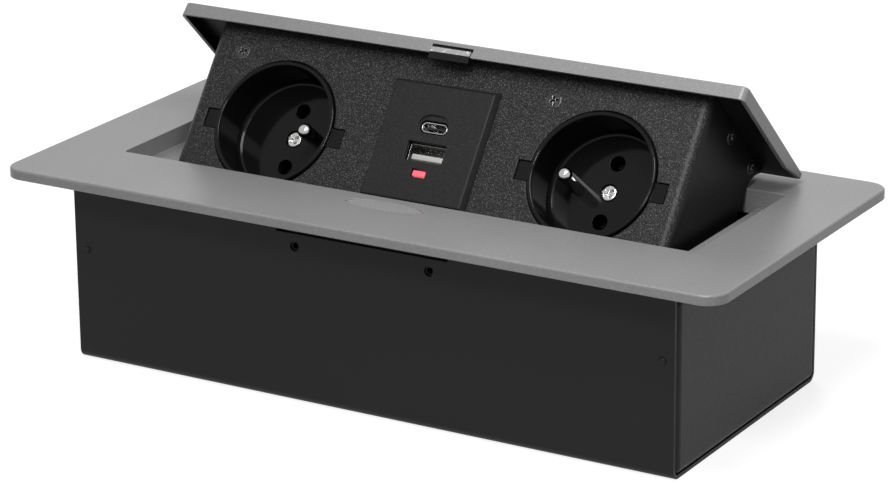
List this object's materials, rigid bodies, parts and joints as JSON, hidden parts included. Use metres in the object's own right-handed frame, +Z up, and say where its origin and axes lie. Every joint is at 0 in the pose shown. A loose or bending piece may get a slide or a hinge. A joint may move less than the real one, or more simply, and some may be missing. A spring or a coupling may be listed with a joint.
{
  "type": "in-desk power module",
  "caption": "Flip-up power module for a desk cut-out: bezel, steel box and a sprung lid that carries earthed sockets and USB charging ports.",
  "frame": {"origin": "middle of the underside of the box", "axes": "+X along the length, +Y away from the user, +Z up out of the worktop; stored with the lid open"},
  "size_m": [0.2484, 0.118, 0.1033],
  "materials": {
    "bezel_paint": "fine satin grey paint",
    "box_paint": "fine-textured black powder coat",
    "panel_paint": "fine-textured black powder coat",
    "cover_paint": "matt black paint",
    "bracket_steel": "matt black paint",
    "socket_gloss": "polished black",
    "socket_back_plastic": "moulded",
    "black_plastic": "moulded",
    "white_plastic": "moulded",
    "brass": "bright",
    "nickel": "nickel plated",
    "zinc_steel": "zinc plated",
    "spring_steel": "drawn wire",
    "black_screw": "black oxide",
    "magnet": "nickel plated",
    "board": "lacquered",
    "red_light": "clear red"
  },
  "bodies": {
    "housing": {"bezel_frame": "bezel_paint", "box_wrapper": "box_paint", "end_plate_left": "box_paint", "end_plate_right": "box_paint", "wall_rivets": "box_paint", "ledge_screws": "black_screw", "ledge_nuts": "zinc_steel", "catch_block": "black_plastic", "catch_magnet": "magnet", "cable_gland": "black_plastic", "gland_nut": "black_plastic", "terminal_block": "white_plastic", "terminal_screws": "brass", "pivot_pin_left": "zinc_steel", "pivot_pin_right": "zinc_steel", "pivot_clips": "zinc_steel", "spring_posts": "zinc_steel", "torsion_spring_left": "spring_steel", "torsion_spring_right": "spring_steel"},
    "insert": {"centre_screws": "zinc_steel", "earth_pin_left": "nickel", "earth_pin_right": "nickel", "face_screws": "black_screw", "insert_cover": "cover_paint", "insert_panel": "panel_paint", "led_pipe": "red_light", "lid_bracket_left": "bracket_steel", "lid_bracket_right": "bracket_steel", "lid_panel": "bezel_paint", "pivot_bush_left": "brass", "pivot_bush_right": "brass", "side_screws": "black_screw", "socket_back_left": "socket_back_plastic", "socket_back_right": "socket_back_plastic", "socket_body_left": "socket_gloss", "socket_body_right": "socket_gloss", "socket_contacts_left": "brass", "socket_contacts_right": "brass", "strike_tab": "nickel", "usb_a_shell": "nickel", "usb_a_tongue": "white_plastic", "usb_board": "board", "usb_c_shell": "nickel", "usb_c_tongue": "black_plastic", "usb_capacitor": "zinc_steel", "usb_housing": "black_plastic", "usb_plate": "black_plastic", "usb_transformer": "black_plastic"}
  },
  "joints": [
    {"name": "lid_hinge", "type": "hinge", "parent": "housing", "child": "insert", "pos_m": [0, 0.0415, 0.0409], "axis": [1, 0, 0], "range_deg": [0, 44.16], "stiffness_Nm_per_rad": 0.1, "springref_deg": -171.89, "deforming": ["torsion_spring_left", "torsion_spring_right"]}
  ]
}
